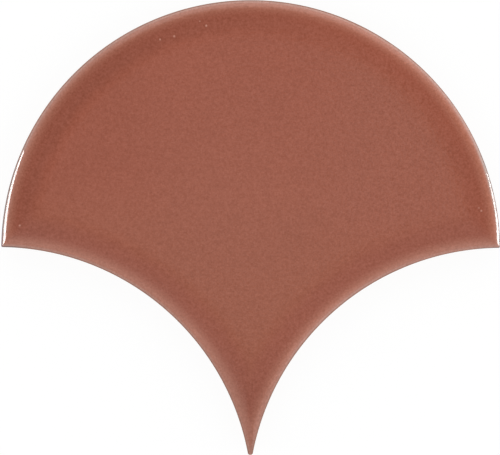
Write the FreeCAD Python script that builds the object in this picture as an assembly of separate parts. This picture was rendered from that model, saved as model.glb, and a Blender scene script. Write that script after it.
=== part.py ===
"""Glazed fish scale tile, pressed and fired as one piece.

A half-round head, two scalloped flanks that take the heads of the row below, and a blunt point.
The tile lies on its back: +Z out of the face, +Y towards the crown, +X towards the right wing.
The origin is the centre of the head's arc, on the plane of the back.
"""

import FreeCAD, Part
import math
import os

# Driving dimensions, in millimetres and degrees
tile_width = 170.0  # wing tip to wing tip
tile_height = 155.0  # crown to point
tile_thickness = 9.0  # back to the flat of the face
grout_joint = 1.4  # gap that the outline leaves to each neighbouring tile

edge_roll = 0.8  # radius of the round edge at the top of the side
roll_tilt = 45.0  # tilt of the surface where the roll hands over to the shoulder
shoulder_radius = 5.2  # radius of the softer shoulder inside the roll
pillow_tilt = 5.5  # tilt where the shoulder hands over to the pillow
pillow_width = 14.0  # inset at which the pillow ends in the flat of the face
side_taper = 0.35  # how far the foot of the side stands inside the outline
foot_bevel = 0.25  # bevel round the back
corner_round = 0.5  # radius in plan of the wing tips and of the point's two corners

key_pitch = 13.0  # spacing of the keys, the shallow squares pressed into the back
key_rib = 2.8  # width of the ribs between the keys
key_depth = 0.8
key_draft = 0.5  # how much narrower a key's floor is, on each side
key_border = 7.0  # plain rim round the keyed field
key_least_share = 0.35  # a key that the rim leaves less of than this share is left out

# The layout that the outline comes from: heads stand side to side with one joint between them,
# and the next row is stepped by half that pitch, both across and down.
head_radius = tile_width / 2
lattice_step = head_radius + grout_joint / 2
scallop_radius = head_radius + grout_joint
point_y = head_radius - tile_height
clearance = 2.0  # how far a cutter runs past the tile

head_centre = FreeCAD.Vector(0, 0, 0)
right_scallop_centre = FreeCAD.Vector(lattice_step, -lattice_step, 0)
up = FreeCAD.Vector(0, 0, 1)
across = FreeCAD.Vector(1, 0, 0)


def mirrored(shape):
    """The same shape on the other side of the tile's middle."""
    return shape.mirror(head_centre, across)


def edge_bends():
    """The arcs of the rounded edge, from the side to the flat of the face: (radius, first tilt, last tilt)."""
    upright = math.pi / 2
    roll_end = math.radians(roll_tilt)
    shoulder_end = math.radians(pillow_tilt)
    shoulder_inset = edge_roll * (1 - math.sin(roll_end)) + shoulder_radius * (
        math.sin(roll_end) - math.sin(shoulder_end)
    )
    pillow_radius = (pillow_width - shoulder_inset) / math.sin(shoulder_end)
    return [
        (edge_roll, upright, roll_end),
        (shoulder_radius, roll_end, shoulder_end),
        (pillow_radius, shoulder_end, 0.0),
    ]


def edge_section(arc_radius, side):
    """The edge's section beside an arc of the outline, in the XZ plane, from the foot to the flat face.

    side is -1 where the tile lies inside the arc, and 1 where it lies outside.
    """

    def at(inset, height):
        return FreeCAD.Vector(arc_radius + side * inset, 0, height)

    bends = edge_bends()
    inset = 0.0
    height = tile_thickness - sum(r * (math.cos(last) - math.cos(first)) for r, first, last in bends)
    foot = at(side_taper + foot_bevel, 0)
    side_foot = at(side_taper, foot_bevel)
    edges = [
        Part.LineSegment(foot, side_foot).toShape(),
        Part.LineSegment(side_foot, at(inset, height)).toShape(),
    ]
    for radius, first, last in bends:
        points = [
            at(
                inset + radius * (math.sin(first) - math.sin(tilt)),
                height + radius * (math.cos(tilt) - math.cos(first)),
            )
            for tilt in (first, (first + last) / 2, last)
        ]
        edges.append(Part.Arc(*points).toShape())
        inset += radius * (math.sin(first) - math.sin(last))
        height += radius * (math.cos(last) - math.cos(first))
    return edges


def turned(section, low, high):
    """A solid turned about Z from a section that is closed to the axis at two heights."""
    start = section[0].firstVertex().Point
    end = section[-1].lastVertex().Point
    corners = [
        end,
        FreeCAD.Vector(end.x, 0, high),
        FreeCAD.Vector(0, 0, high),
        FreeCAD.Vector(0, 0, low),
        FreeCAD.Vector(start.x, 0, low),
        start,
    ]
    legs = [(a, b) for a, b in zip(corners, corners[1:]) if not a.isEqual(b, 1e-6)]
    closing = [Part.LineSegment(a, b).toShape() for a, b in legs]
    return Part.Face(Part.Wire(section + closing)).revolve(head_centre, up, 360)


def arc_about(centre, start, end):
    """The shorter arc between two points that lie equally far from a centre."""
    middle = (start + end) * 0.5 - centre
    middle.normalize()
    return Part.Arc(start, centre + middle * start.distanceToPoint(centre), end).toShape()


def wing_corner(inset):
    """Where the head's arc meets the right flank's, when both are moved into the tile by an inset."""
    head = head_radius - inset
    scallop = scallop_radius + inset
    between = right_scallop_centre.Length
    along = (head**2 - scallop**2 + between**2) / (2 * between)
    aside = math.sqrt(head**2 - along**2)
    return FreeCAD.Vector(along + aside, aside - along, 0) / math.sqrt(2)


def tail_corner(inset):
    """Where the two flanks' arcs meet, when both are moved into the tile by an inset."""
    return FreeCAD.Vector(0, math.sqrt((scallop_radius + inset) ** 2 - lattice_step**2) - lattice_step, 0)


def face_of(head_edge, right_edges, foot_edges):
    """A flat face from the head's edge, the right flank's edges and their mirror images."""
    edges = [head_edge] + right_edges + [mirrored(e) for e in right_edges] + foot_edges
    return Part.Face(Part.Wire(Part.__sortEdges__(edges)))


def rounded_outline():
    """The tile's outline in plan, with its wing tips and the corners of its point rounded."""
    wing = wing_corner(corner_round)
    wing_head = wing * (head_radius / (head_radius - corner_round))
    onto_flank = scallop_radius / (scallop_radius + corner_round)
    wing_flank = right_scallop_centre + (wing - right_scallop_centre) * onto_flank
    point_height = point_y + corner_round
    reach = math.sqrt((scallop_radius + corner_round) ** 2 - (point_height + lattice_step) ** 2)
    point = FreeCAD.Vector(lattice_step - reach, point_height, 0)
    point_flank = right_scallop_centre + (point - right_scallop_centre) * onto_flank
    point_foot = FreeCAD.Vector(point.x, point_y, 0)
    wing_left = FreeCAD.Vector(-wing_head.x, wing_head.y, 0)
    foot_left = FreeCAD.Vector(-point_foot.x, point_foot.y, 0)
    return face_of(
        Part.Arc(wing_head, FreeCAD.Vector(0, head_radius, 0), wing_left).toShape(),
        [
            arc_about(wing, wing_head, wing_flank),
            arc_about(right_scallop_centre, wing_flank, point_flank),
            arc_about(point, point_flank, point_foot),
        ],
        [Part.LineSegment(point_foot, foot_left).toShape()],
    )


def keyed_field():
    """The part of the back inside the plain rim, in plan."""
    wing = wing_corner(key_border)
    wing_left = FreeCAD.Vector(-wing.x, wing.y, 0)
    crown = FreeCAD.Vector(0, head_radius - key_border, 0)
    return face_of(
        Part.Arc(wing, crown, wing_left).toShape(),
        [arc_about(right_scallop_centre, wing, tail_corner(key_border))],
        [],
    )


def tile_blank():
    """The tile before its back is keyed.

    The head is a round cake with the tile's edge turned on it. What a neighbouring head and its joint
    take out of each flank is turned about that neighbour's axis, with the same edge on its rim, so the
    edges meet in mitres at the wing tips and in a ridge down the point.
    """
    cake = turned(edge_section(head_radius, -1), 0, tile_thickness)
    scallop = turned(edge_section(scallop_radius, 1), -clearance, tile_thickness + clearance)
    scallop.translate(right_scallop_centre)
    outline = rounded_outline()
    outline.translate(-up * clearance)
    prism = outline.extrude(up * (tile_thickness + 2 * clearance))
    return cake.cut([scallop, mirrored(scallop)]).common(prism)


def key(x, y):
    """One key's drafted block, centred on the plane of the back."""

    def square(height, half):
        corners = [(-half, -half), (half, -half), (half, half), (-half, half), (-half, -half)]
        return Part.makePolygon([FreeCAD.Vector(x + dx, y + dy, height) for dx, dy in corners])

    half = (key_pitch - key_rib) / 2
    return Part.makeLoft([square(-key_depth, half + key_draft), square(key_depth, half - key_draft)], True)


def back_keys():
    """The keys of the back, clipped to the field inside the rim, with ribs along the tile's middle."""
    field = keyed_field()
    field.translate(-up * clearance)
    field = field.extrude(up * 2 * clearance)
    count = math.ceil(head_radius / key_pitch)
    places = [(i + 0.5) * key_pitch for i in range(-count, count)]
    whole = key(0, 0).Volume
    keys = [key(x, y).common(field) for x in places for y in places]
    return [k for k in keys if k.Volume > key_least_share * whole]


keys = back_keys()
tile = tile_blank().cut(keys).Solids[0]
os.makedirs("parts", exist_ok=True)
tile.exportStep("parts/fish_scale_tile.step")
print(len(keys), "keys,", round(tile.Volume / 1000, 2), "cm3, valid", tile.isValid())
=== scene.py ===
# %% [markdown]
# # A glazed fish scale tile
# The tile is one piece of clay, pressed, glazed on its face and fired. In a wall its round head sits
# between two neighbours, and its scalloped flanks take the heads of the row below. The measured model
# comes in first, because everything that follows has to fit it. Its box is kept, so that the finished
# tile can be compared with it at the end.

# %% load the measured model
import math

import bmesh
import bpy
from mathutils import Matrix, Vector, noise


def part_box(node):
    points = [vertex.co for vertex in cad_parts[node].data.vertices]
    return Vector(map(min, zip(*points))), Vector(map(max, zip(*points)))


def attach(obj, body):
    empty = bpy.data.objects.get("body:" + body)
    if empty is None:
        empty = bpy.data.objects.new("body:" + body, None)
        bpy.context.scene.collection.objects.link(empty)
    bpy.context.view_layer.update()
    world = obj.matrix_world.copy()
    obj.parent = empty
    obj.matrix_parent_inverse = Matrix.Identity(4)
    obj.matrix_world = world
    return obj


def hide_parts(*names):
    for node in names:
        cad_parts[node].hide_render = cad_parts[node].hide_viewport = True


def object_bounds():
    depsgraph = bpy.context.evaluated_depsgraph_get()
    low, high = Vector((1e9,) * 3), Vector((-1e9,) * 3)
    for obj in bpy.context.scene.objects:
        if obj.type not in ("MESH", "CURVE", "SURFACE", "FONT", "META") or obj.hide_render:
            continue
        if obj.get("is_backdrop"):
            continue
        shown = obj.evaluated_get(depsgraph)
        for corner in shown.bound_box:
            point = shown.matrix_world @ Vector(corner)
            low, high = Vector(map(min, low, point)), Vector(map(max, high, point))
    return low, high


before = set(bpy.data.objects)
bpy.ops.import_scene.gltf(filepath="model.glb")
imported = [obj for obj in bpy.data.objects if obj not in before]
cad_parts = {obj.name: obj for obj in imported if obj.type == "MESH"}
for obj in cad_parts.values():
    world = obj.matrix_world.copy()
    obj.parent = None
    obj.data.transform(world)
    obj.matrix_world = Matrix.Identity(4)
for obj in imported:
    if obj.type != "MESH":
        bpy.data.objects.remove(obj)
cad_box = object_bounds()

MM = 0.001
tile_low, tile_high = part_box("fish_scale_tile")
print("measured tile, mm:", [round(v / MM, 2) for v in tile_high - tile_low])

# %% [markdown]
# ## The outline in plan
# Six arcs make the outline: the head, two scalloped flanks, two small rounds at the wing tips and one
# at the point. It could be drawn as a curve, but every height of the edge needs the same outline moved
# inwards by a little, so the arcs are worked out for any inset. Circles are easy to move inwards: the
# head's radius shrinks and the scallops' radii grow by the inset, and the corners are where they meet.
# A hair, a thousandth of a millimetre, keeps the outline just inside the measured box.

# %% corners of the outline
hair = 0.001 * MM
closeness = 1e-7
grout_joint = 1.4 * MM
head_radius = tile_high.y - hair
lattice_step = head_radius + grout_joint / 2
scallop_radius = head_radius + grout_joint
scallop_centre = Vector((lattice_step, -lattice_step))


def mirrored(point):
    """The same point on the other side of the tile's middle."""
    return Vector((-point.x, point.y))


def wing_corner(inset):
    """Where the head meets the right flank, both moved inwards by the inset."""
    head = head_radius - inset
    scallop = scallop_radius + inset
    between = scallop_centre.length
    along = (head**2 - scallop**2 + between**2) / (2 * between)
    aside = math.sqrt(head**2 - along**2)
    return Vector((along + aside, aside - along)) / math.sqrt(2)


def tail_corner(inset):
    """Where the two flanks meet, both moved inwards by the inset."""
    return Vector((0, math.sqrt((scallop_radius + inset) ** 2 - lattice_step**2) - lattice_step))


def point_round():
    """The radius at the point that makes it end where the measured model does."""
    low, high = 0.2 * MM, 3 * MM
    while high - low > closeness:
        middle = (low + high) / 2
        if tail_corner(middle).y - middle < tile_low.y + hair:
            low = middle
        else:
            high = middle
    return high


tail_round = point_round()
wing_round = 0.5 * MM
print("point rounded to", round(tail_round / MM, 3), "mm, wing tips to", wing_round / MM, "mm")

# %% [markdown]
# ## One ring round the tile
# A ring is made by spinning a single vertex round each arc's own centre in turn. Spin leaves an edge
# behind at every step, so the ring comes out evenly divided, and every ring has the same count, which
# is what lets neighbouring rings be bridged with clean quads. The fired corners are softer further in,
# where the glaze has pooled, so the corner radii grow with the inset.

# %% ring helper
flank_steps = 128
wing_steps = 8
tail_steps = 12
head_steps = 2 * flank_steps + tail_steps
wing_soften = 0.35
tail_soften = 0.10


def outline_arcs(inset):
    """The six arcs of the outline at an inset: (centre, turning sense, steps, start)."""
    wing_radius = wing_round + wing_soften * inset
    tail_radius = tail_round + tail_soften * inset
    wing = wing_corner(inset + wing_radius)
    tail = tail_corner(inset + tail_radius)
    on_head = wing.normalized() * (head_radius - inset)
    flank_top = scallop_centre + (wing - scallop_centre).normalized() * (scallop_radius + inset)
    flank_foot = scallop_centre + (tail - scallop_centre).normalized() * (scallop_radius + inset)
    return [
        (Vector((0, 0)), 1, head_steps, on_head),
        (mirrored(wing), 1, wing_steps, mirrored(on_head)),
        (mirrored(scallop_centre), -1, flank_steps, mirrored(flank_top)),
        (tail, 1, tail_steps, mirrored(flank_foot)),
        (scallop_centre, -1, flank_steps, flank_foot),
        (wing, 1, wing_steps, flank_top),
    ]


def join(bm, other):
    """Adds another bmesh to bm, frees it, and returns the edges that were added."""
    carrier = bpy.data.meshes.new("carrier")
    other.to_mesh(carrier)
    other.free()
    before = len(bm.edges)
    bm.from_mesh(carrier)
    bpy.data.meshes.remove(carrier)
    bm.edges.ensure_lookup_table()
    return bm.edges[before:]


def add_ring(bm, inset, height):
    """Spins a vertex round the six arcs and adds that ring to bm.

    Returns the ring's edges in order, starting at the right wing.
    """
    arcs = outline_arcs(inset)
    starts = [start for _, _, _, start in arcs]
    loop = bmesh.new()
    first = last = loop.verts.new((*starts[0], height))
    for (centre, sense, steps, start), end in zip(arcs, starts[1:] + starts[:1]):
        sweep = sense * (start - centre).angle(end - centre)
        count = steps - 1 if end is starts[0] else steps
        spun = bmesh.ops.spin(
            loop,
            geom=[last],
            cent=(*centre, height),
            axis=(0, 0, 1),
            angle=sweep * count / steps,
            steps=count,
        )
        last = next(g for g in spun["geom_last"] if isinstance(g, bmesh.types.BMVert))
    loop.edges.new((last, first))
    return join(bm, loop)


print("each ring has", head_steps + 2 * wing_steps + 2 * flank_steps + tail_steps, "edges")

# %% [markdown]
# ## The bends of the edge
# From the side, the tile stands on a small bevel, leans out a little, and turns over into the face in
# three bends: a tight roll, a softer shoulder and a long, hardly visible pillow. The pillow matters
# most to the look, because a gloss glaze shows it as a darker band inside the bright rim.

# %% bends of the edge
edge_roll = 0.8 * MM
roll_tilt = math.radians(45)
shoulder_radius = 5.2 * MM
pillow_tilt = math.radians(5.5)
pillow_width = 14 * MM

roll_inset = edge_roll * (1 - math.sin(roll_tilt))
shoulder_inset = roll_inset + shoulder_radius * (math.sin(roll_tilt) - math.sin(pillow_tilt))
pillow_radius = (pillow_width - shoulder_inset) / math.sin(pillow_tilt)
# Each bend: its radius, the tilt at its start and at its end, and its steps
bends = [
    (edge_roll, math.pi / 2, roll_tilt, 9),
    (shoulder_radius, roll_tilt, pillow_tilt, 18),
    (pillow_radius, pillow_tilt, 0.0, 12),
]
side_top = tile_high.z - sum(r * (math.cos(last) - math.cos(first)) for r, first, last, _ in bends)
print("side top at", round(side_top / MM, 3), "mm, pillow radius", round(pillow_radius / MM, 1), "mm")

# %% [markdown]
# ## The section as rows
# A section is a list of rows, and every row becomes one ring. The glaze is a skin on the clay: it stops
# partway down the side in a small wavy bead, and the clay below is bare. So there are two sections, one
# of clay and one of glaze, and each row says how far in it is, how high, and how much it takes part in
# the lip's wave.

# %% section of the edge
side_taper = 0.35 * MM
foot_bevel = 0.25 * MM
bevel_middle = 0.3 * foot_bevel
glaze_skin = 0.22 * MM
lip_height = 2.5 * MM
# Each row of the bead: millimetres above the lip, millimetres sunk into the side, share of the wave
lip_bead = [
    (0.03, 0.09, 1),
    (0.14, 0.02, 1),
    (0.30, 0, 1),
    (0.52, 0.03, 0.95),
    (0.9, 0.06, 0.8),
    (1.8, 0.05, 0.4),
]


def side_inset(height):
    """How far the leaning side stands inside the outline at a height."""
    return side_taper * (side_top - height) / (side_top - foot_bevel)


def clay_section():
    """The bare clay of the side, from the back up to the glaze."""
    foot = side_taper + glaze_skin
    return [
        (foot + foot_bevel, 0, 0),
        (foot + bevel_middle, bevel_middle, 0),
        (foot, foot_bevel, 0),
        (side_inset(lip_height) + glaze_skin, lip_height, 1),
    ]


def glaze_section():
    """The glazed edge, from the bead at its lip to the flat of the face."""
    rows = []
    for rise, sunk, share in lip_bead:
        height = lip_height + rise * MM
        rows.append((side_inset(height) + sunk * MM, height, share))
    inset, height = 0.0, side_top
    rows.append((inset, height, 0))
    for radius, first, last, steps in bends:
        for step in range(1, steps + 1):
            tilt = first + (last - first) * step / steps
            further_in = inset + radius * (math.sin(first) - math.sin(tilt))
            higher = height + radius * (math.cos(tilt) - math.cos(first))
            rows.append((further_in, higher, 0))
        inset, height = rows[-1][:2]
    return rows


clay_rows = clay_section()
glaze_rows = glaze_section()
print(len(clay_rows), "rows of clay,", len(glaze_rows), "rows of glaze")

# %% [markdown]
# ## Skinning the side and the edge
# The rings are stacked from the back to the face, and each is bridged to the one before. The lip's
# rings also rise and fall by a little noise, as glaze does where it was wiped off before firing. Faces
# above the lip get the glaze as their material, and faces below it the clay.

# %% bridge the rings
GLAZE, CLAY = 0, 1
wave_height = 0.75
waves_per_metre = 45
wrinkle_height = 0.18
wrinkles_per_metre = 190


def lip_wave(place):
    """How far the glaze's lip strays from its height, in metres, at a place on the outline."""
    wave = noise.noise(Vector((place.x, place.y, 0.3)) * waves_per_metre)
    wrinkle = noise.noise(Vector((place.x, place.y, 0.7)) * wrinkles_per_metre)
    return (wave_height * wave + wrinkle_height * wrinkle) * MM


tile_mesh = bmesh.new()
rings = []
for row, (inset, height, share) in enumerate(clay_rows + glaze_rows):
    ring = add_ring(tile_mesh, inset, height)
    for vert in {v for e in ring for v in e.verts}:
        vert.co.z += share * lip_wave(vert.co)
    if rings:
        skin = bmesh.ops.bridge_loops(tile_mesh, edges=rings[-1] + ring)
        for face in skin["faces"]:
            face.material_index = CLAY if row < len(clay_rows) else GLAZE
    rings.append(ring)
face_ring = rings[-1]
print(len(rings), "rings,", len(tile_mesh.faces), "faces")

# %% [markdown]
# ## The flat of the face
# The last ring leaves a scale-shaped hole. One large face would fill it, but then nothing could ripple.
# Grid fill needs two facing sides of the same length, so the ring is quartered at the crown, the wing
# tips and the point, and two opposite quarters are handed over.

# %% fill the face with a grid
quarter = (head_steps + wing_steps) // 2
crown_at = head_steps // 2
point_at = head_steps + wing_steps + flank_steps + tail_steps // 2
sides = face_ring[crown_at : crown_at + quarter] + face_ring[point_at : point_at + quarter]
field = bmesh.ops.grid_fill(tile_mesh, edges=sides, mat_nr=GLAZE, use_smooth=True)
print("face filled with", len(field["faces"]), "faces, quarter of", quarter)

# %% [markdown]
# ## The ribs of the back
# A pressed tile has shallow squares in its back, the keys, for the adhesive to grip. The back starts as
# one face inside a plain rim, and that face is sliced along both sides of every rib. Slicing keeps the
# bed's round outline, which a grid of separate squares would have to be trimmed to.

# %% slice the back along its ribs
key_border = 7 * MM
key_pitch = 13 * MM
key_rib = 2.8 * MM
on_plane = 1e-7

BED = 2
back_mesh = bmesh.new()
foot_ring = add_ring(back_mesh, *clay_rows[0][:2])
bed_ring = add_ring(back_mesh, key_border, 0)
for face in bmesh.ops.bridge_loops(back_mesh, edges=foot_ring + bed_ring)["faces"]:
    face.material_index = CLAY
for face in bmesh.ops.contextual_create(back_mesh, geom=bed_ring)["faces"]:
    face.material_index = BED
rib_count = math.ceil(head_radius / key_pitch)
for axis in (Vector((1, 0, 0)), Vector((0, 1, 0))):
    for rib in range(-rib_count, rib_count + 1):
        for side in (-1, 1):
            bed = [f for f in back_mesh.faces if f.material_index == BED]
            corners = {v for f in bed for v in f.verts}
            edges = {e for f in bed for e in f.edges}
            cut = axis * (rib * key_pitch + side * key_rib / 2)
            bmesh.ops.bisect_plane(
                back_mesh,
                geom=[*bed, *edges, *corners],
                dist=on_plane,
                plane_co=cut,
                plane_no=axis,
            )
bed = [f for f in back_mesh.faces if f.material_index == BED]
print("back sliced into", len(bed), "parts")

# %% [markdown]
# ## The keys between the ribs
# The squares between the ribs are inset and pushed in, which gives them drafted walls, as a die needs
# to come free. Slivers at the rim of the bed are left flat. The edges are bevelled, because a press die
# never leaves a knife edge.

# %% press the keys in
key_depth = 0.8 * MM
key_draft = 0.5 * MM
key_round = 0.22 * MM
key_least_share = 0.35
lip_angle = 0.5
touching = 1e-6

bmesh.ops.recalc_face_normals(back_mesh, faces=back_mesh.faces)
if bed[0].normal.z > 0:
    bmesh.ops.reverse_faces(back_mesh, faces=back_mesh.faces)


def off_rib(place):
    """True between two ribs, along one axis."""
    return abs((place / key_pitch) % 1 - 0.5) * key_pitch < (key_pitch - key_rib) / 2


def is_lip(edge):
    """True for an edge in the plane of the back where the surface turns down into a key."""
    return all(abs(v.co.z) < touching for v in edge.verts) and edge.calc_face_angle(0) > lip_angle


whole_key = (key_pitch - key_rib) ** 2
keys = []
for face in bed:
    middle = face.calc_center_median()
    if off_rib(middle.x) and off_rib(middle.y) and face.calc_area() > key_least_share * whole_key:
        keys.append(face)
bmesh.ops.inset_individual(
    back_mesh, faces=keys, thickness=key_draft, depth=-key_depth, use_even_offset=True
)
key_edges = [e for f in keys for e in f.edges]
walls = [(wall, vert) for key in keys for vert in key.verts for wall in vert.link_edges]
near_keys = {e for wall, vert in walls for e in wall.other_vert(vert).link_edges}
lips = [e for e in back_mesh.edges if e in near_keys and is_lip(e)]
bmesh.ops.bevel(
    back_mesh,
    geom=lips + key_edges,
    offset=key_round,
    segments=2,
    profile=0.5,
    affect="EDGES",
    material=-1,
    clamp_overlap=True,
)
for face in back_mesh.faces:
    face.material_index = CLAY
print(len(keys), "keys,", len(back_mesh.faces), "faces on the back")

# %% [markdown]
# ## Welding the back on
# The back was modelled in a mesh of its own, because slicing is quick in a small mesh. Its outer ring
# stands exactly where the stack's first ring does, so the two are joined and their doubles merged. Only
# then are the normals recalculated, because they need one closed shell to tell inside from outside.

# %% join the two meshes
join(tile_mesh, back_mesh)
on_back = [v for v in tile_mesh.verts if abs(v.co.z) < on_plane]
bmesh.ops.remove_doubles(tile_mesh, verts=on_back, dist=touching)
bmesh.ops.recalc_face_normals(tile_mesh, faces=tile_mesh.faces)
open_edges = [e for e in tile_mesh.edges if not e.is_manifold]
volume = tile_mesh.calc_volume() / (10 * MM) ** 3
print(len(tile_mesh.faces), "faces,", len(open_edges), "open edges,", round(volume, 2), "cm3")

# %% [markdown]
# ## Nibs in the glaze
# A few grains of dust fell on the wet glaze near the rim and fired in as pale nibs. They could be loose
# beads laid on the tile, but a nib is glaze all through, so the faces round each one are subdivided and
# its vertices are lifted into a low dome. Each vertex also remembers how much of a nib it is, for the
# colour.

# %% raise the nibs
# Each nib: its place across and along the tile, its radius and its height, all in millimetres
nibs = [
    (-15.2, 76.1, 0.62, 0.045),
    (-17.4, 77.6, 0.60, 0.026),
    (-30.9, 71.4, 0.62, 0.036),
    (-26.1, 72.5, 0.66, 0.036),
    (-78.5, 8.1, 0.66, 0.033),
    (78.4, 13.3, 0.66, 0.037),
    (77.6, 14.3, 0.56, 0.028),
]
tallest_nib = max(lift for _, _, _, lift in nibs)
nib_margin = 1.5
nib_cuts = 6
nib_share = tile_mesh.verts.layers.float.new("nib")


def near_nib(place, reach):
    """True on the face within a reach of a nib, in millimetres beyond its radius."""
    return place.z > side_top and any(
        math.hypot(place.x / MM - x, place.y / MM - y) < radius + reach for x, y, radius, _ in nibs
    )


round_nibs = [e for e in tile_mesh.edges if all(near_nib(v.co, nib_margin) for v in e.verts)]
bmesh.ops.subdivide_edges(tile_mesh, edges=round_nibs, cuts=nib_cuts, use_grid_fill=True)
for vert in [v for v in tile_mesh.verts if near_nib(v.co, 0)]:
    for x, y, radius, lift in nibs:
        off = math.hypot(vert.co.x / MM - x, vert.co.y / MM - y) / radius
        if off < 1:
            dome = (1 - off**2) ** 2
            vert[nib_share] = dome * lift / tallest_nib
            vert.co.z += lift * MM * dome
print(len(nibs), "nibs,", len(round_nibs), "edges subdivided")

# %% [markdown]
# ## Ripples, and how far each point is from the edge
# Fired glaze is never quite flat. A slow noise sinks the face by a few hundredths of a millimetre, too
# little to see as a shape but enough to bend a reflection. The distance from the outline is stored on
# every vertex, because the glaze's colour depends on it, and a shader can't work it out by itself.

# %% ripple the glaze
from_edge = tile_mesh.verts.layers.float.new("from_edge")
ripple_depth = 0.03 * MM
ripple_start = 0.4 * MM
ripple_fade = 3 * MM
slow_per_metre = 70
quick_per_metre = 160
quick_offset = Vector((3, 7, 1))


def inside_outline(place):
    """How far a place is inside the outline, in metres."""
    flat = place.xy
    return min(
        head_radius - flat.length,
        (flat - scallop_centre).length - scallop_radius,
        (flat - mirrored(scallop_centre)).length - scallop_radius,
    )


def ripple(place):
    """A slow noise from 0 to 1."""
    slow = noise.noise(place * slow_per_metre)
    quick = noise.noise(place * quick_per_metre + quick_offset)
    return min(max(0.5 + 0.4 * slow + 0.15 * quick, 0), 1)


for vert in tile_mesh.verts:
    vert.co.z = max(vert.co.z, 0)
    inset = inside_outline(vert.co)
    vert[from_edge] = max(inset, 0) / MM
    if vert.co.z > side_top:
        fade = min(max((inset - ripple_start) / ripple_fade, 0), 1)
        vert.co.z -= ripple_depth * fade * ripple(vert.co)
print("rippled by up to", ripple_depth / MM, "mm")

# %% [markdown]
# ## From mesh to object
# The finished mesh becomes one object at the origin, where the measured tile is. It is shaded smooth,
# and only edges that turn by more than a set angle stay sharp. The frame is told which body the object
# belongs to and which measured piece it takes the place of.

# %% make the object
sharp_angle = math.radians(50)
tile_data = bpy.data.meshes.new("glazed_tile")
tile_mesh.to_mesh(tile_data)
tile_mesh.free()
tile_data.shade_smooth()
tile_data.set_sharp_from_angle(angle=sharp_angle)
tile = bpy.data.objects.new("glazed_tile", tile_data)
bpy.context.scene.collection.objects.link(tile)
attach(tile, "root")
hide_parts("fish_scale_tile")
print("tile has", sum(len(p.vertices) - 2 for p in tile_data.polygons), "triangles")

# %% [markdown]
# ## Wiring shaders in Python
# A material is a tree of nodes. Adding every Math node by hand hides the idea behind the wiring, so one
# small class stands for a socket: adding or multiplying two of them adds the node that does it. Every
# other node comes from one method, which sets the node up before it connects its sockets.

# %% the wire class
class Wire:
    """One output socket. Arithmetic on it adds Math nodes to its tree."""

    def __init__(self, socket):
        self.socket = socket

    @classmethod
    def node(cls, tree, kind, settings=None, sockets=None, out=0):
        """Adds a node: first its settings, then a value or a wire for each socket. Returns one output."""
        made = tree.nodes.new(kind)
        for name, value in (settings or {}).items():
            if name == "stops":
                ramp = made.color_ramp.elements
                ramp.remove(ramp[1])
                for number, (position, level) in enumerate(value):
                    stop = ramp.new(position) if number else ramp[0]
                    stop.position = position
                    stop.color = (level, level, level, 1)
            else:
                setattr(made, name, value)
        for name, value in (sockets or {}).items():
            if isinstance(value, cls):
                tree.links.new(value.socket, made.inputs[name])
            else:
                made.inputs[name].default_value = value
        return cls(made.outputs[out]) if made.outputs else None

    def math(self, operation, left, right=0.0):
        """A Math node in this wire's tree. Either side is a wire or a number."""
        sockets = {0: left, 1: right}
        return Wire.node(self.socket.id_data, "ShaderNodeMath", {"operation": operation}, sockets)

    def __add__(self, other):
        return self.math("ADD", self, other)

    def __sub__(self, other):
        return self.math("SUBTRACT", self, other)

    def __rsub__(self, other):
        return self.math("SUBTRACT", other, self)

    def __mul__(self, other):
        return self.math("MULTIPLY", self, other)

    def __truediv__(self, other):
        return self.math("DIVIDE", self, other)

    def __rtruediv__(self, other):
        return self.math("DIVIDE", other, self)

    __radd__ = __add__
    __rmul__ = __mul__


print("wires ready")

# %% [markdown]
# ## Helpers for the finishes
# Three kinds of node come up again and again: noise for everything uneven, a smooth step for everything
# that begins or ends somewhere, and a mix of two colours. Giving each a short name keeps the finishes
# below readable, so that they say what the glaze does and not how nodes are joined.

# %% shader helpers
def cloudy(tree, place, size, detail=2.0):
    """Noise from 0 to 1 with features of a size in metres."""
    sockets = {"Vector": place, "Scale": 1 / size, "Detail": detail}
    return Wire.node(tree, "ShaderNodeTexNoise", {}, sockets)


def eased(value, start, end, first=0.0, last=1.0):
    """A smooth step from first to last while the value goes from start to end."""
    return Wire.node(
        value.socket.id_data,
        "ShaderNodeMapRange",
        {"interpolation_type": "SMOOTHSTEP"},
        {"Value": value, "From Min": start, "From Max": end, "To Min": first, "To Max": last},
    )


def mixed(tree, factor, first, second, blend="MIX"):
    """One colour blended into another."""
    first, second = [c if isinstance(c, Wire) else (*c, 1) for c in (first, second)]
    settings = {"data_type": "RGBA", "blend_type": blend}
    return Wire.node(tree, "ShaderNodeMix", settings, {0: factor, 6: first, 7: second}, out=2)


def new_material(name):
    """An empty node material and its tree."""
    material = bpy.data.materials.new(name)
    material.use_nodes = True
    material.node_tree.nodes.clear()
    return material, material.node_tree


print("shader helpers ready")

# %% [markdown]
# ## The colour of the terracotta glaze
# The glaze is a glossy red brown. It is drawn thin over the edge as it fires, so the clay's pink shows
# through there and fades out over the shoulder. On the face the hue leans a little from left to right
# and from the head to the point. Everything is worked out from the tile's own coordinates and from the
# stored distance to the edge, so nothing has to be painted or unwrapped.

# %% glaze colour
upper_colour = (0.291, 0.0712, 0.0363)
lower_colour = (0.281, 0.0757, 0.0378)
left_colour = (0.281, 0.0670, 0.0330)
right_colour = (0.293, 0.0785, 0.0425)
outer_band_colour = (0.273, 0.0707, 0.0388)
thin_colour = (0.350, 0.125, 0.079)

glaze, tree = new_material("terracotta_glaze")
place = Wire.node(tree, "ShaderNodeTexCoord", out="Object")
across, along, height = [
    Wire.node(tree, "ShaderNodeSeparateXYZ", {}, {0: place}, out=axis) for axis in "XYZ"
]
inset = Wire.node(tree, "ShaderNodeAttribute", {"attribute_name": "from_edge"}, out="Fac")

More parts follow.
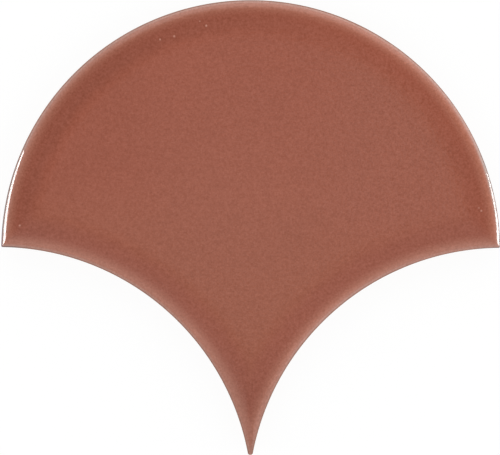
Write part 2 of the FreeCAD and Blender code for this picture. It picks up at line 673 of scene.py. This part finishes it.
# The hue of the face
colour = mixed(tree, eased(along, -30 * MM, 65 * MM), lower_colour, upper_colour)
to_left = eased(across, -50 * MM, -15 * MM, 1.0, 0.0) * eased(along, 8 * MM, 32 * MM)
to_right = eased(across, 12 * MM, 48 * MM) * eased(along, -5 * MM, 15 * MM)
colour = mixed(tree, to_left, colour, left_colour)
colour = mixed(tree, to_right, colour, right_colour)

# The outer band of the face and the shoulder where the glaze is thin, both with a drifting border
drift = cloudy(tree, place, 7 * MM) - 0.5
outer_band = eased(inset + 2 * drift, 7.5, 12.5, 1.0, 0.0)
thin = eased(inset + 0.4 * drift, 1.29, 5.41, 1.0, 0.0)
colour = mixed(tree, outer_band, colour, outer_band_colour)
colour = mixed(tree, thin, colour, thin_colour)
print("face and shoulder take", len(tree.nodes), "nodes")

# %% [markdown]
# ## The pale rim and its painted sheen
# On the outermost millimetre hardly any glaze is left, so the clay's pink shows, and the rim's colour
# also holds painted reflection, standing in for the sheen of the low walls, which are dimmed for the
# gloss. The rim is palest round the head, greyer beside the wing tips, and weaker down the flanks. A
# little white is added on top of the pink as painted sheen, because a mix with the pink alone would
# never get as pale. The left flank has no painted sheen, and the right one some of it but less pink.

# %% glaze rim and painted sheen
# Rim colours: the thin glaze's pink, lifted by painted reflection
rim_and_sheen_colour = (0.375, 0.188, 0.146)
wing_rim_and_sheen_colour = (0.355, 0.255, 0.220)
pink_lost = 0.45
sheen_white = 0.030
sheen_lost = 0.45
lip_sheen = 0.6

# Where the rim is pale: thin glaze and painted sheen together
rim_and_sheen = eased(inset + 0.2 * drift, 0.65, 1.4, 1.0, 0.0) * eased(along, -60 * MM, -15 * MM, 0.6, 1.0)
right_flank = eased(across, 30 * MM, 65 * MM) * eased(along, -4 * MM, 12 * MM, 1.0, 0.0)
rim_and_sheen = rim_and_sheen * (1.0 - pink_lost * right_flank)
near_wing = eased(across.math("ABSOLUTE", across), 74 * MM, 82 * MM)
on_head = near_wing * eased(along, 1.0 * MM, 3.5 * MM)
colour = mixed(tree, rim_and_sheen, colour, mixed(tree, on_head, rim_and_sheen_colour, wing_rim_and_sheen_colour))

on_flank = eased(along, 0.0, 6 * MM, 1.0, 0.0)
head_lip = eased(inset, 0.3, 0.9, 1.0, 0.0) * (1.0 - on_flank)
right_lip_sheen = lip_sheen * eased(across, 35 * MM, 65 * MM) * head_lip
# White added on the rim as painted sheen, with more on the right lip
sheen = eased(inset, 0.7, 1.7, sheen_white, 0.0)
sheen = sheen * (1.0 - on_flank * eased(across, 4 * MM, 20 * MM, 1.0, sheen_lost))
colour = mixed(tree, 1.0, colour, sheen * (1.0 + right_lip_sheen), "ADD")
print("with the rim", len(tree.nodes), "nodes")

# %% [markdown]
# ## Tone, runs and nibs
# A fired glaze is never one flat tone. Slow clouds and a fine mottle vary how light it is, the outer
# band is lighter towards the right, and towards the point everything is a little darker. Down the side
# the glaze has run, so the noise there is stretched upright. The nibs are paler than the glaze
# around.

# %% glaze tone
side_colour = (0.210, 0.085, 0.058)
run_colour = (0.290, 0.120, 0.082)
nib_dust_and_glint_colour = (0.45, 0.20, 0.145)
run_stretch = (1.0, 1.0, 0.12)

lean = eased(across, -62 * MM, 62 * MM, -0.085, 0.070) * eased(along - 0.2 * across, 8 * MM, 30 * MM)
tail = eased(along, -58 * MM, -28 * MM, -0.12, 0.0)
slow = cloudy(tree, place, 24 * MM) - 0.5
grain = cloudy(tree, place, 0.85 * MM, 1.0) + 0.6 * cloudy(tree, place, 0.5 * MM, 0.0) - 0.8
tone = 1.0 + lean * outer_band + tail + 0.08 * slow + 0.32 * grain
colour = mixed(tree, 1.0, colour, tone, "MULTIPLY")
colour = mixed(tree, 1.0, colour, 0.027 * grain, "ADD")

stretched = {0: place, 1: run_stretch}
upright = Wire.node(tree, "ShaderNodeVectorMath", {"operation": "MULTIPLY"}, stretched)
runs = eased(cloudy(tree, upright, 2.2 * MM, 2.0), 0.42, 0.66, 0.0, 0.8)
side = mixed(tree, runs, side_colour, run_colour)
on_side = eased(height, side_top - 1.5 * MM, side_top + 0.2 * MM, 1.0, 0.0)
colour = mixed(tree, on_side, colour, side)
nib = Wire.node(tree, "ShaderNodeAttribute", {"attribute_name": "nib"}, out="Fac")
# The nibs' pale colour: a dust grain in the glaze, and a painted glint
colour = mixed(tree, eased(nib, 0.1, 0.8), colour, nib_dust_and_glint_colour)
print("with tone, runs and nibs", len(tree.nodes), "nodes")

# %% [markdown]
# ## The skin of the glaze
# The skin is dimpled like orange peel, a little more towards the right wing. The dimples are far too
# small to model, so a bump tilts the reflection instead. The gloss is high, and a little lower on the
# side, where less glaze is left.

# %% glaze skin
peel_depth = 0.045 * MM
glaze_ior = 1.55

peel = cloudy(tree, place, 1.15 * MM, 1.0)
peel_share = eased(across, -60 * MM, 80 * MM, 0.2, 1.0)
dimples = {"Strength": 1.0, "Distance": peel_depth, "Height": peel * peel_share}
skin = Wire.node(tree, "ShaderNodeBump", {}, dimples)
side_haze = eased(height, side_top - 1.0 * MM, side_top + 0.6 * MM, 0.10, 0.0)
rough = 0.04 + 0.03 * cloudy(tree, place, 5 * MM) + side_haze
finish = {"Base Color": colour, "Roughness": rough, "IOR": glaze_ior, "Normal": skin}
glossy = Wire.node(tree, "ShaderNodeBsdfPrincipled", {}, finish)
print("with the skin", len(tree.nodes), "nodes")

# %% [markdown]
# ## Painted shade on the bend
# On the sharp bend above the side a dull, dark line is painted in as shade. It is a second, matt
# shader, mixed in where the height and the distance from the edge say so. The line wanders a little,
# gets thinner towards the right wing, and turns greyer beside both wing tips.

# %% painted shade on the bend
# Painted shade: dark colours for the dull line on the bend
shade_line_colour = (0.265, 0.131, 0.095)
wing_shade_line_colour = (0.190, 0.124, 0.113)

wander = 0.2 * (cloudy(tree, place, 3 * MM) - 0.5) + eased(across, 35 * MM, 80 * MM, 0.0, 0.15)
on_bend = eased(height + wander * MM, side_top - 0.9 * MM, side_top - 0.2 * MM)
# Where the painted shade lies: a thin line on the bend
shade_line = eased(inset + wander, 0.30, 0.50, 1.0, 0.0) * on_bend
shade_line_tint = mixed(tree, near_wing, shade_line_colour, wing_shade_line_colour)
finish = {"Base Color": shade_line_tint, "Roughness": 0.7, "Specular IOR Level": 0.1}
dull_shade = Wire.node(tree, "ShaderNodeBsdfPrincipled", {}, finish)
surface = Wire.node(tree, "ShaderNodeMixShader", {}, {0: shade_line, 1: glossy, 2: dull_shade})
Wire.node(tree, "ShaderNodeOutputMaterial", {}, {"Surface": surface})
tile_data.materials.append(glaze)
print("glaze has", len(tree.nodes), "nodes")

# %% [markdown]
# ## The bare clay
# Where the glaze was wiped off, the fired clay shows: a matt pinkish buff with darker and paler grains.
# It can't be seen from straight above, but the side and the back are part of the object too. Cells of a
# Voronoi pattern make good grains, because each has a middle that can be picked out by its distance.

# %% clay
warm = (0.50, 0.27, 0.17)
pale = (0.60, 0.36, 0.25)
dark = (0.30, 0.14, 0.09)
grain_size = 1.6 * MM
tooth_depth = 0.05 * MM

clay, tree = new_material("bare_clay")
place = Wire.node(tree, "ShaderNodeTexCoord", out="Object")
colour = mixed(tree, eased(cloudy(tree, place, 18 * MM, 3.0), 0.35, 0.65), warm, pale)
cells = {"Vector": place, "Scale": 1 / grain_size}
grains = Wire.node(tree, "ShaderNodeTexVoronoi", {}, cells, out="Distance")
colour = mixed(tree, eased(grains, 0.10, 0.24, 0.55, 0.0), colour, dark)
colour = mixed(tree, 1.0, colour, 0.86 + 0.28 * cloudy(tree, place, 0.5 * MM, 3.0), "MULTIPLY")
tooth = cloudy(tree, place, 0.35 * MM, 3.0) + 0.6 * cloudy(tree, place, 1.4 * MM, 2.0)
bumps = {"Strength": 0.8, "Distance": tooth_depth, "Height": tooth}
rough_skin = Wire.node(tree, "ShaderNodeBump", {}, bumps)
finish = {"Base Color": colour, "Roughness": 0.88, "IOR": 1.45, "Normal": rough_skin}
surface = Wire.node(tree, "ShaderNodeBsdfPrincipled", {}, finish)
Wire.node(tree, "ShaderNodeOutputMaterial", {}, {"Surface": surface})
tile_data.materials.append(clay)
print("clay has", len(tree.nodes), "nodes")

# %% [markdown]
# ## The table
# The tile lies on a plain white table. To the camera and to the glaze the table is nearly all light of
# its own, so that it renders as white as a cut-out, and the rest is a lit surface that keeps the tile's
# faint shadow. Seen from below it is clear, so that the back can be looked at without moving anything.

# %% table
table_radius = 3.0
table_drop = 0.05 * MM
table_glow = 0.92

floor_mesh = bmesh.new()
lowered = Matrix.Translation((0, 0, -table_drop))
bmesh.ops.create_circle(floor_mesh, cap_ends=True, segments=96, radius=table_radius, matrix=lowered)
floor_data = bpy.data.meshes.new("table_top")
floor_mesh.to_mesh(floor_data)
floor_mesh.free()
floor = bpy.data.objects.new("table_top", floor_data)
bpy.context.scene.collection.objects.link(floor)
floor.visible_diffuse = False
floor.visible_shadow = False
floor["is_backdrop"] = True

table, tree = new_material("white_table")
rays = ("Is Camera Ray", "Is Glossy Ray", "Is Transmission Ray")
by_camera, by_gloss, by_glass = [Wire.node(tree, "ShaderNodeLightPath", out=ray) for ray in rays]
glowing = table_glow * (by_camera + by_gloss + by_glass)
below = Wire.node(tree, "ShaderNodeNewGeometry", out="Backfacing")
lit = Wire.node(tree, "ShaderNodeBsdfDiffuse", {}, {"Color": (0.98, 0.98, 0.98, 1)})
glow = Wire.node(tree, "ShaderNodeEmission", {}, {"Color": (1, 1, 1, 1), "Strength": 1.0})
clear = Wire.node(tree, "ShaderNodeBsdfTransparent")
top = Wire.node(tree, "ShaderNodeMixShader", {}, {0: glowing, 1: lit, 2: glow})
surface = Wire.node(tree, "ShaderNodeMixShader", {}, {0: below, 1: top, 2: clear})
Wire.node(tree, "ShaderNodeOutputMaterial", {}, {"Surface": surface})
floor_data.materials.append(table)
print("table faces", [tuple(round(n, 1) for n in p.normal) for p in floor_data.polygons])

# %% [markdown]
# ## The sides of the tent
# A glossy tile mirrors its room, so the room is part of the look. This one is a white tent: a soft glow
# straight overhead, a dimmer ring round it, and walls that brighten towards the table. Its five sides
# differ. The one on the right is dark halfway up and bright at its foot, and the two behind the point
# are more even. Each side is a ramp of grey from overhead down to the table's edge.

# %% tent sides
scene = bpy.context.scene
world = bpy.data.worlds.new("tent")
scene.world = world
world.use_nodes = True
tree = world.node_tree
tree.nodes.clear()
look = Wire.node(tree, "ShaderNodeTexCoord", out="Generated")
x, y, z = [Wire.node(tree, "ShaderNodeSeparateXYZ", {}, {0: look}, out=axis) for axis in "XYZ"]
degrees = z.math("ARCCOSINE", z) * (180 / math.pi)
top_level = 4.5
ramp_end = 100
# Degrees down from overhead at which every side has its brightness set
heights = (0, 5, 9, 13, 18, 24, 32, 42, 55, 70, 85, 95)


def tent_side(*levels):
    """One side of the tent as a ramp of grey, with a level for each of the heights."""
    stops = [(angle / ramp_end, level / top_level) for angle, level in zip(heights, levels)]
    return Wire.node(tree, "ShaderNodeValToRGB", {"stops": stops}, {0: degrees / ramp_end})


behind_crown = tent_side(0.95, 0.70, 0.44, 0.38, 0.34, 0.38, 0.58, 1.15, 1.66, 2.05, 2.50, 2.65)
left_of_crown = tent_side(0.95, 0.70, 0.44, 0.38, 0.34, 0.36, 0.45, 0.62, 1.18, 1.95, 2.50, 2.65)
left_of_point = tent_side(0.95, 0.64, 0.64, 0.90, 0.93, 0.92, 1.00, 1.10, 1.08, 1.20, 1.52, 1.74)
right_of_point = tent_side(0.95, 0.68, 0.64, 0.69, 0.67, 0.68, 0.66, 0.95, 1.35, 1.68, 2.15, 2.40)
right_of_crown = tent_side(0.95, 0.70, 0.44, 0.38, 0.32, 0.26, 0.18, 0.25, 0.70, 1.90, 4.20, 4.50)
print("tent has sides of", len(heights), "stops")

# %% [markdown]
# ## Closing the tent
# The sides are blended into one another by the compass direction. The low walls are dimmed for the
# gloss alone, as a polarising filter would, so that the face keeps its colour in low views. Light from
# below the table leans to one side, which brings out the keys of the back. The camera itself sees plain
# white. The level is set so that a colour on the face renders about as it is written.

# %% tent
gloss_dimming = 0.63
nearly_one = 1.0001

flat = z.math("SQRT", nearly_one - z * z)
east = x / flat
north = y / flat
behind_point = mixed(tree, eased(east, -0.3, 0.85), left_of_point, right_of_point)
over_crown = mixed(tree, eased(east, -0.75, -0.45), left_of_crown, behind_crown)
wall = mixed(tree, eased(north, -0.6, 0.05), behind_point, over_crown)
wall = mixed(tree, eased(east, 0.55, 0.90) * eased(north, -0.15, 0.10), wall, right_of_crown)
in_gloss = Wire.node(tree, "ShaderNodeLightPath", out="Is Glossy Ray")
dimmed = 1.0 - in_gloss * eased(degrees, 55, 73, 0.0, gloss_dimming)
wall = mixed(tree, 1.0, wall, dimmed, "MULTIPLY")
from_below = (0.6 - 0.45 * y) / top_level
wall = mixed(tree, eased(degrees, 94, 97), wall, from_below)
lights = Wire.node(tree, "ShaderNodeBackground", {}, {"Color": wall, "Strength": top_level})
white = Wire.node(tree, "ShaderNodeBackground", {}, {"Color": (1, 1, 1, 1), "Strength": 1.0})
camera_ray = Wire.node(tree, "ShaderNodeLightPath", out="Is Camera Ray")
both = Wire.node(tree, "ShaderNodeMixShader", {}, {0: camera_ray, 1: lights, 2: white})
Wire.node(tree, "ShaderNodeOutputWorld", {}, {"Surface": both})
print("tent has", len(tree.nodes), "nodes")

# %% [markdown]
# ## Two strip lights
# The white lines along the tile's left and right edges are mirror images of two slim lamps, which bend
# round the head close to its rim and taper towards the crown. An area lamp can't bend, so each line is
# a row of short ones. One large lamp further off would look the same from above, but from the side it
# would be mirrored in the whole face and hide it. The lamps only need to be seen in the gloss, so they
# are kept out of the diffuse light and of the camera's sight.

# %% strip lights
lamp_gap = 3 * MM
lamp_count = 8
lamp_radius = head_radius + lamp_gap
rim_height = side_top + 1.1 * MM
watts_per_area = 4


def lamp_row(name, side, brightness, sweep, lower, upper):
    """A row of lamps round the head, from one wing (side -1 or 1) over a sweep in degrees.

    lower and upper give the row's two edges at the wing and at its far end, in degrees above the rim.
    """

    def spot(share):
        """The row's middle at a share of its sweep, and its height from edge to edge."""
        turn = math.radians(sweep * share)
        low, high = [
            rim_height + lamp_gap * math.tan(math.radians(first + (last - first) * share))
            for first, last in (lower, upper)
        ]
        aside = side * lamp_radius * math.cos(turn)
        ahead = lamp_radius * math.sin(turn)
        return Vector((aside, ahead, (low + high) / 2)), high - low

    for number in range(lamp_count):
        start, _ = spot(number / lamp_count)
        end, _ = spot((number + 1) / lamp_count)
        middle, tall = spot((number + 0.5) / lamp_count)
        along = (end - start).normalized() * -side
        outward = Vector((middle.x, middle.y, 0)).normalized()
        up = outward.cross(along)
        data = bpy.data.lights.new(name, "AREA")
        data.shape = "RECTANGLE"
        data.size, data.size_y = (end - start).length, tall
        data.energy = brightness * watts_per_area * data.size * data.size_y
        lamp = bpy.data.objects.new(f"{name}_{number + 1}", data)
        turned = Matrix((along, up, outward)).transposed().to_4x4()
        lamp.matrix_world = Matrix.Translation((start + end) / 2) @ turned
        bpy.context.scene.collection.objects.link(lamp)
        lamp.visible_camera = False
        lamp.visible_diffuse = False
    print(name, lamp_count, "lamps over", sweep, "degrees, the last", round(tall / MM, 2), "mm tall")


lamp_row("left_lamp", -1, brightness=13.5, sweep=23.4, lower=(12.5, 4.4), upper=(50.6, 24.5))
lamp_row("right_lamp", 1, brightness=10.5, sweep=18.0, lower=(-11.2, -8.0), upper=(28.9, 2.5))

# %% [markdown]
# ## The camera
# The view is straight down, from so far that both wing tips are seen almost without perspective. The
# tile fills the picture from wing tip to wing tip, which fixes the distance for the lens. The camera is
# turned by less than a tenth of a degree, as in the photograph.

# %% camera
picture_width = 170.35 * MM
picture_middle = (-0.23 * MM, 7.51 * MM)
camera_turn = 0.0015
camera_data = bpy.data.cameras.new("above")
camera_data.lens = 200
camera_data.sensor_width = 36
camera_data.clip_end = 20
camera_height = side_top + picture_width * camera_data.lens / camera_data.sensor_width
camera = bpy.data.objects.new("above", camera_data)
camera.location = (*picture_middle, camera_height)
camera.rotation_euler.z = camera_turn
scene.collection.objects.link(camera)
scene.camera = camera
scene.view_settings.view_transform = "Standard"
print("camera at", [round(v, 4) for v in camera.location])

# %% [markdown]
# ## Measuring what was made
# The finished tile has to stay inside the measured one, so both boxes are written down side by side
# before the frame is closed.

# %% compare the boxes and finish
boxes = {"cad": cad_box, "visual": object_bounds()}
for name, box in boxes.items():
    print(name, [[round(v / MM, 3) for v in corner] for corner in box])
